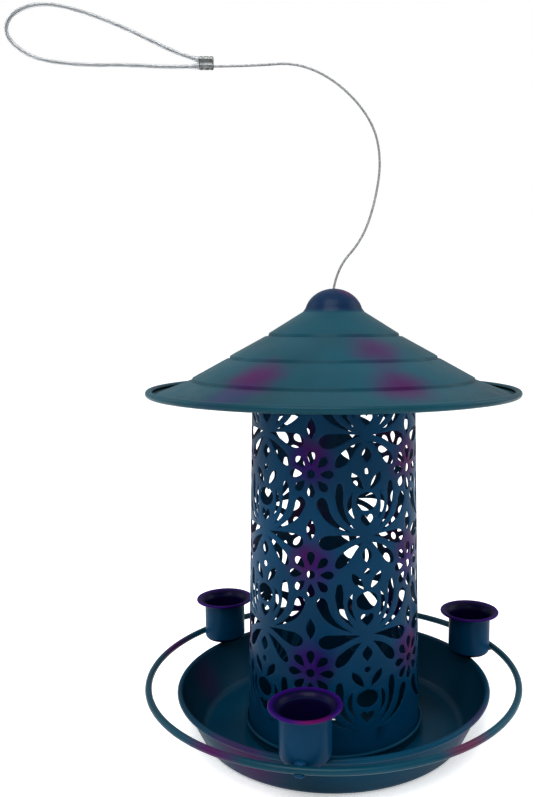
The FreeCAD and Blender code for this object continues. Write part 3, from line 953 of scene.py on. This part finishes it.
def swept(name: str, runs: Sequence[Sequence[Vector]], radius: float,
          radii: Optional[Sequence[float]] = None, sides: int = 1) -> bpy.types.Object:
    """Round rods along lines of points, as one mesh.

    Args:
        name: the object's name.
        runs: the lines, in metres.
        radius: the rods' radius, in metres.
        radii: the share of the radius at each point, when it changes along the rod.
        sides: how finely each rod is rounded.

    Returns:
        The rods as one mesh object.
    """
    curve = bpy.data.curves.new(name, "CURVE")
    curve.dimensions = "3D"
    curve.bevel_depth = radius
    curve.bevel_resolution = sides
    curve.use_fill_caps = True
    for run in runs:
        spline = curve.splines.new("POLY")
        spline.points.add(len(run) - 1)
        for index, place in enumerate(run):
            spline.points[index].co = (*place, 1.0)
            spline.points[index].radius = 1.0 if radii is None else radii[index]
    holder = bpy.data.objects.new(name + "_line", curve)
    bpy.context.scene.collection.objects.link(holder)
    bpy.context.view_layer.update()
    mesh = bpy.data.meshes.new_from_object(holder)
    bpy.data.objects.remove(holder)
    bpy.data.curves.remove(curve)
    made = bmesh.new()
    made.from_mesh(mesh)
    bpy.data.meshes.remove(mesh)
    bmesh.ops.remove_doubles(made, verts=made.verts, dist=1e-7)
    bmesh.ops.recalc_face_normals(made, faces=made.faces)
    return finish_mesh(made, name, 60.0)


@dataclass
class WireRope:
    """The stranded steel cable: a close ring of strands laid round its middle."""

    diameter: float = 1.5
    lay: float = 11.0
    strands: int = 9
    spacing: float = 0.9

    def laid(self, name: str, line: Sequence[Vector]) -> bpy.types.Object:
        """Lays the strands along a line and returns the rope, undressed."""
        strand = self.diameter * MM / 8
        points = frames(evenly(line, self.spacing * MM))
        runs = []
        gone = [0.0]
        for (a, _, _), (b, _, _) in zip(points, points[1:]):
            gone.append(gone[-1] + (b - a).length)
        for number in range(self.strands):
            run = []
            for (place, side, over), length in zip(points, gone):
                turn = math.tau * (number / self.strands + length / (self.lay * MM))
                run.append(place + (side * math.cos(turn) + over * math.sin(turn)) * strand * 3)
            runs.append(run)
        return swept(name, runs, strand, sides=1)


@dataclass
class Hanger:
    """The cable from the dome to the ferrule, the loop in its clear sleeve, and the ferrule."""

    rope: WireRope = field(default_factory=WireRope)
    dome_top: float = 0.2817
    core_foot: float = 0.2285
    arc_top: float = 0.4170
    sleeve_radius: float = 1.25
    sleeve_wall: float = 0.4
    flare: float = 1.55
    flare_length: float = 5.5
    ferrule_middle: Point = (-77.6, 417.9)
    ferrule_length: float = 8.4
    barrel: float = 2.15
    barrel_offset: float = 1.9
    hanging_route: tuple[Point, ...] = (
        (0.0, 0.2817), (0.0022, 0.2945), (0.0175, 0.3115), (0.0255, 0.334), (0.0295, 0.361),
        (0.0235, 0.3845), (0.003, 0.4068), (-0.022, 0.4185), (-0.048, 0.4164), (-0.0734, 0.416))
    loop_route: tuple[Point, ...] = (
        (-0.0818, 0.416), (-0.1, 0.4154), (-0.125, 0.4169), (-0.152, 0.4167), (-0.18, 0.4195),
        (-0.1945, 0.428), (-0.2005, 0.438), (-0.194, 0.4486), (-0.176, 0.4538), (-0.152, 0.4484),
        (-0.128, 0.4392), (-0.106, 0.4286), (-0.0915, 0.4223), (-0.0818, 0.4198))

    def build(self) -> list[bpy.types.Object]:
        """Builds the cable, its loop, its sleeve and its ferrule."""
        steel = BareMetal("cable_steel", (0.40, 0.41, 0.42), 0.48).make()
        ferrule = self.build_ferrule()
        hanging = self.build_hanging(steel)
        core = self.build_core(steel)
        loop, sleeve = self.build_loop(steel)
        return [ferrule, hanging, core, loop, sleeve]

    def build_hanging(self, steel: bpy.types.Material) -> bpy.types.Object:
        """The cable that stands up from the dome and bends over to the ferrule."""
        line = route_line(self.hanging_route)
        rope = self.rope.laid("hanging_rope", line)
        wear(rope, steel)
        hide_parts("hanging_cable")
        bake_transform(rope)
        return rope

    def build_core(self, steel: bpy.types.Material) -> bpy.types.Object:
        """The straight cable inside the feeder, from its stop to the dome's hole."""
        line = [Vector((0, 0, self.core_foot)), Vector((0, 0, self.dome_top))]
        rope = self.rope.laid("core_rope", line)
        wear(rope, steel)
        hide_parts("core_cable")
        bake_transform(rope)
        return rope

    def build_loop(self, steel: bpy.types.Material) -> tuple[bpy.types.Object, bpy.types.Object]:
        """The loop of cable and the clear sleeve that it is threaded through."""
        line = route_line(self.loop_route)
        rope = self.rope.laid("loop_rope", line)
        wear(rope, steel)
        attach(rope, FEEDER_BODY)
        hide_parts("loop_cable")
        sleeve = self.build_sleeve(line)
        return rope, sleeve

    def build_sleeve(self, line: Sequence[Vector]) -> bpy.types.Object:
        """A thin-walled clear tube whose two ends are spread by the ferrule."""
        points = evenly(line, 1.6 * MM)
        step = (points[1] - points[0]).length
        last = len(points) - 1
        shares = []
        for index in range(len(points)):
            end = min(index, last - index) * step / (self.flare_length * MM)
            spread = max(0.0, 1.0 - end)
            shares.append(1.0 + (self.flare - 1.0) * spread * spread * (3 - 2 * spread))
        outside = swept("loop_tube", [points], self.sleeve_radius * MM, shares, sides=4)
        made = bmesh.new()
        made.from_mesh(outside.data)
        old = outside.data
        bpy.data.objects.remove(outside)
        bpy.data.meshes.remove(old)
        caps = [face for face in made.faces if len(face.verts) > 4]
        bmesh.ops.delete(made, geom=caps, context="FACES_ONLY")
        tube = finish_mesh(made, "loop_tube", 60.0)
        wall = tube.modifiers.new("wall", "SOLIDIFY")
        wall.thickness = self.sleeve_wall * MM
        wall.offset = -1.0
        applied(tube)
        wear(tube, ClearTube("clear_sleeve", (0.86, 0.88, 0.90)).make())
        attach(tube, FEEDER_BODY)
        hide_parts("loop_sleeve")
        return tube

    def build_ferrule(self) -> bpy.types.Object:
        """The double-barrelled ferrule, waisted between its barrels and pressed three times."""
        half = self.ferrule_length / 2
        stations = [(-half, 0.80), (-half + 0.25, 0.95), (-half + 0.8, 1.0), (-half + 1.5, 0.99),
                    (-half + 2.0, 0.9), (-half + 2.6, 0.89), (-half + 3.2, 0.98), (0.0, 1.0)]
        stations += [(-along, share) for along, share in reversed(stations[:-1])]
        made = bmesh.new()
        rings = []
        for along, share in stations:
            ring = []
            for across, up in self.ferrule_section(share):
                place = ((self.ferrule_middle[0] + along) * MM, across * MM,
                         (self.ferrule_middle[1] + up) * MM)
                ring.append(made.verts.new(place))
            rings.append(ring)
        loops = [[made.edges.new((a, b)) for a, b in zip(ring, ring[1:] + ring[:1])] for ring in rings]
        for first, second in zip(loops, loops[1:]):
            bmesh.ops.bridge_loops(made, edges=first + second)
        for ring in (rings[0], rings[-1]):
            made.faces.new(ring)
        bmesh.ops.recalc_face_normals(made, faces=made.faces)
        ferrule = finish_mesh(made, "ferrule", 40.0)
        wear(ferrule, BareMetal("ferrule_metal", (0.20, 0.21, 0.21), 0.36).make())
        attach(ferrule, FEEDER_BODY)
        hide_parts("loop_ferrule")
        return ferrule

    def ferrule_section(self, share: float) -> list[Point]:
        """The ferrule's outline across, two barrels with a waist between them."""
        radius = self.barrel * share
        outline = []
        for step in range(13):
            turn = math.radians(-28 + 236 * step / 12)
            outline.append((radius * math.cos(turn), self.barrel_offset + radius * math.sin(turn)))
        return outline + [(-across, -up) for across, up in outline]


# --- welds and kept parts ---
@dataclass
class Welds:
    """The weld beads under the cups and between the cups and the perch ring."""

    rim_circle: float = 100.1
    rim_height: float = 30.2
    ring_circle: float = 115.6
    ring_height: float = 35.9
    angles: tuple[float, ...] = (-8.5, 111.5, -128.5)

    def beads(self, name: str, circle: float, height: float, size: Point) -> bpy.types.Object:
        """Lumpy beads at every cup.

        Args:
            name: the object's name.
            circle: how far out the beads lie.
            height: how high they lie.
            size: a bead's half width and half height.

        Returns:
            The beads as one object.
        """
        made = bmesh.new()
        for degrees in self.angles:
            shape = Matrix.Diagonal((size[0] * MM, size[0] * 0.8 * MM, size[1] * MM, 1.0))
            place = Matrix.Translation(around(circle, degrees, height))
            turn = Matrix.Rotation(math.radians(degrees), 4, "Z")
            bead = bmesh.ops.create_icosphere(made, subdivisions=4, radius=1.0, matrix=place @ turn @ shape)
            for vert in bead["verts"]:
                lump = math.sin(vert.co.x * 2600 + degrees) * math.sin(vert.co.y * 2300)
                lump *= math.cos(vert.co.z * 2900)
                vert.co += vert.normal * lump * 0.16 * MM
        return finish_mesh(made, name, 60.0)

    def build(self) -> list[bpy.types.Object]:
        """Builds both sets of beads."""
        under = self.beads("rim_beads", self.rim_circle, self.rim_height, (4.2, 1.7))
        # The beads under the cups wear the darker teal copy, painted shade for where they sit.
        wear(under, SatinPaint("rim_bead_paint", SHADED_TEAL, (), 0.44).make())
        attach(under, FEEDER_BODY)
        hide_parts("cup_welds")
        above = self.beads("ring_beads_above", self.ring_circle, self.ring_height, (3.2, 2.0))
        below = self.beads("ring_beads_below", self.ring_circle + 2.4, self.ring_height - 4.3, (3.0, 1.4))
        beside = join("ring_beads", [above, below])
        wear(beside, SatinPaint("ring_bead_paint", TEAL, (), 0.42).make())
        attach(beside, FEEDER_BODY)
        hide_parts("ring_welds")
        return [under, beside]


def dress_kept_parts() -> None:
    """Paints the strap and the rivets like the feeder and leaves the cable's stop bare."""
    # The strap and rivets wear the darker teal copy, painted shade for where they sit inside the tube.
    painted = SatinPaint("strap_paint", SHADED_TEAL, (), 0.44).make()
    bare = BareMetal("stop_metal", (0.40, 0.41, 0.41), 0.38).make()
    finishes = {"tube_crossbar": painted, "crossbar_rivets": painted, "seat_rivets": painted,
                "cable_stop": bare}
    for name, finish in finishes.items():
        for slot in bpy.data.objects[name].material_slots:
            slot.material = finish
        LOG.info("kept %s", name)


# --- studio ---
@dataclass
class Studio:
    """A bright white studio: a pale floor, a wide key above, two side cards and a pale sky."""

    camera_place: tuple[float, float, float] = (0.0, -0.5049, 0.2614)
    down: float = 5.31
    lens: float = 36.2
    shift: Point = (-0.0844, -0.0035)

    def build(self) -> None:
        """Builds the camera, the floor, the lights and the sky."""
        self.build_camera()
        self.build_floor()
        self.build_light("key", (-0.25, -0.75, 1.35), (0, 0, 0.15), 1.0, 17.0)
        self.build_light("left_card", (-1.15, 0.25, 0.75), (0, 0, 0.18), 0.9, 3.4)
        self.build_light("right_card", (1.15, 0.25, 0.75), (0, 0, 0.18), 0.9, 5.2)
        self.build_sky()

    def build_camera(self) -> None:
        """The camera, level from side to side and looking a little down."""
        data = bpy.data.cameras.new("camera")
        data.lens = self.lens
        data.sensor_width = 36.0
        data.shift_x, data.shift_y = self.shift
        data.clip_start = 0.01
        camera = bpy.data.objects.new("camera", data)
        camera.location = self.camera_place
        camera.rotation_euler = (math.radians(90 - self.down), 0, 0)
        bpy.context.scene.collection.objects.link(camera)
        bpy.context.scene.camera = camera

    def build_floor(self) -> None:
        """A wide pale floor at the tray's foot."""
        made = bmesh.new()
        bmesh.ops.create_circle(made, cap_ends=True, segments=96, radius=6.0)
        floor = finish_mesh(made, "floor")
        nodes = Nodes("floor_white")
        nodes.colour((0.85, 0.85, 0.85))
        nodes.shader.inputs["Roughness"].default_value = 0.95
        nodes.shader.inputs["Specular IOR Level"].default_value = 0.0
        nodes.shader.inputs["Emission Color"].default_value = (1.0, 1.0, 1.0, 1.0)
        nodes.shader.inputs["Emission Strength"].default_value = 0.45
        floor.data.materials.append(nodes.material)

    @staticmethod
    def build_light(name: str, place: tuple, target: tuple, size: float, power: float) -> None:
        """One large soft lamp turned towards a target."""
        data = bpy.data.lights.new(name, "AREA")
        data.size = size
        data.energy = power
        lamp = bpy.data.objects.new(name, data)
        lamp.location = place
        lamp.rotation_euler = (Vector(target) - Vector(place)).to_track_quat("-Z", "Y").to_euler()
        bpy.context.scene.collection.objects.link(lamp)

    @staticmethod
    def build_sky() -> None:
        """A backdrop that looks white all round and lights the feeder mostly from overhead."""
        world = bpy.data.worlds.new("sky")
        world.use_nodes = True
        tree = world.node_tree
        sky = tree.nodes["Background"]
        sky.inputs["Color"].default_value = (1.0, 1.0, 1.0, 1.0)
        rays = tree.nodes.new("ShaderNodeLightPath")
        place = tree.nodes.new("ShaderNodeTexCoord")
        parts = tree.nodes.new("ShaderNodeSeparateXYZ")
        fade = tree.nodes.new("ShaderNodeMapRange")
        fade.inputs["From Min"].default_value = 0.0
        fade.inputs["From Max"].default_value = 0.9
        fade.inputs["To Min"].default_value = 0.30
        fade.inputs["To Max"].default_value = 0.95
        seen = tree.nodes.new("ShaderNodeMath")
        seen.operation = "MAXIMUM"
        tree.links.new(place.outputs["Generated"], parts.inputs[0])
        tree.links.new(parts.outputs["Z"], fade.inputs["Value"])
        tree.links.new(fade.outputs["Result"], seen.inputs[0])
        tree.links.new(rays.outputs["Is Camera Ray"], seen.inputs[1])
        tree.links.new(seen.outputs[0], sky.inputs["Strength"])
        bpy.context.scene.world = world


def main() -> None:
    """Builds every sub-assembly in order, dresses it and reports it."""
    logging.basicConfig(level=logging.INFO, format="%(name)s: %(message)s")
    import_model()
    bpy.context.scene.view_settings.view_transform = "Standard"
    bpy.context.scene.view_settings.gamma = 0.85
    Studio().build()
    made = Hanger().build()
    made.append(FeedTube().build())
    made.append(Roof().build())
    tray = Tray()
    made += [tray.build_dish(), tray.build_seat()]
    made.append(PerchRing().build_ring())
    for name, node, degrees in (("front_cup", "cup_front", -8.5), ("right_cup", "cup_right", 111.5),
                                ("left_cup", "cup_left", -128.5)):
        made.append(Cup(name, node, degrees).build())
    made += Welds().build()
    dress_kept_parts()
    for piece in made:
        LOG.info("made %s with %d faces", piece.name, len(piece.data.polygons))


if __name__ == "__main__":
    main()
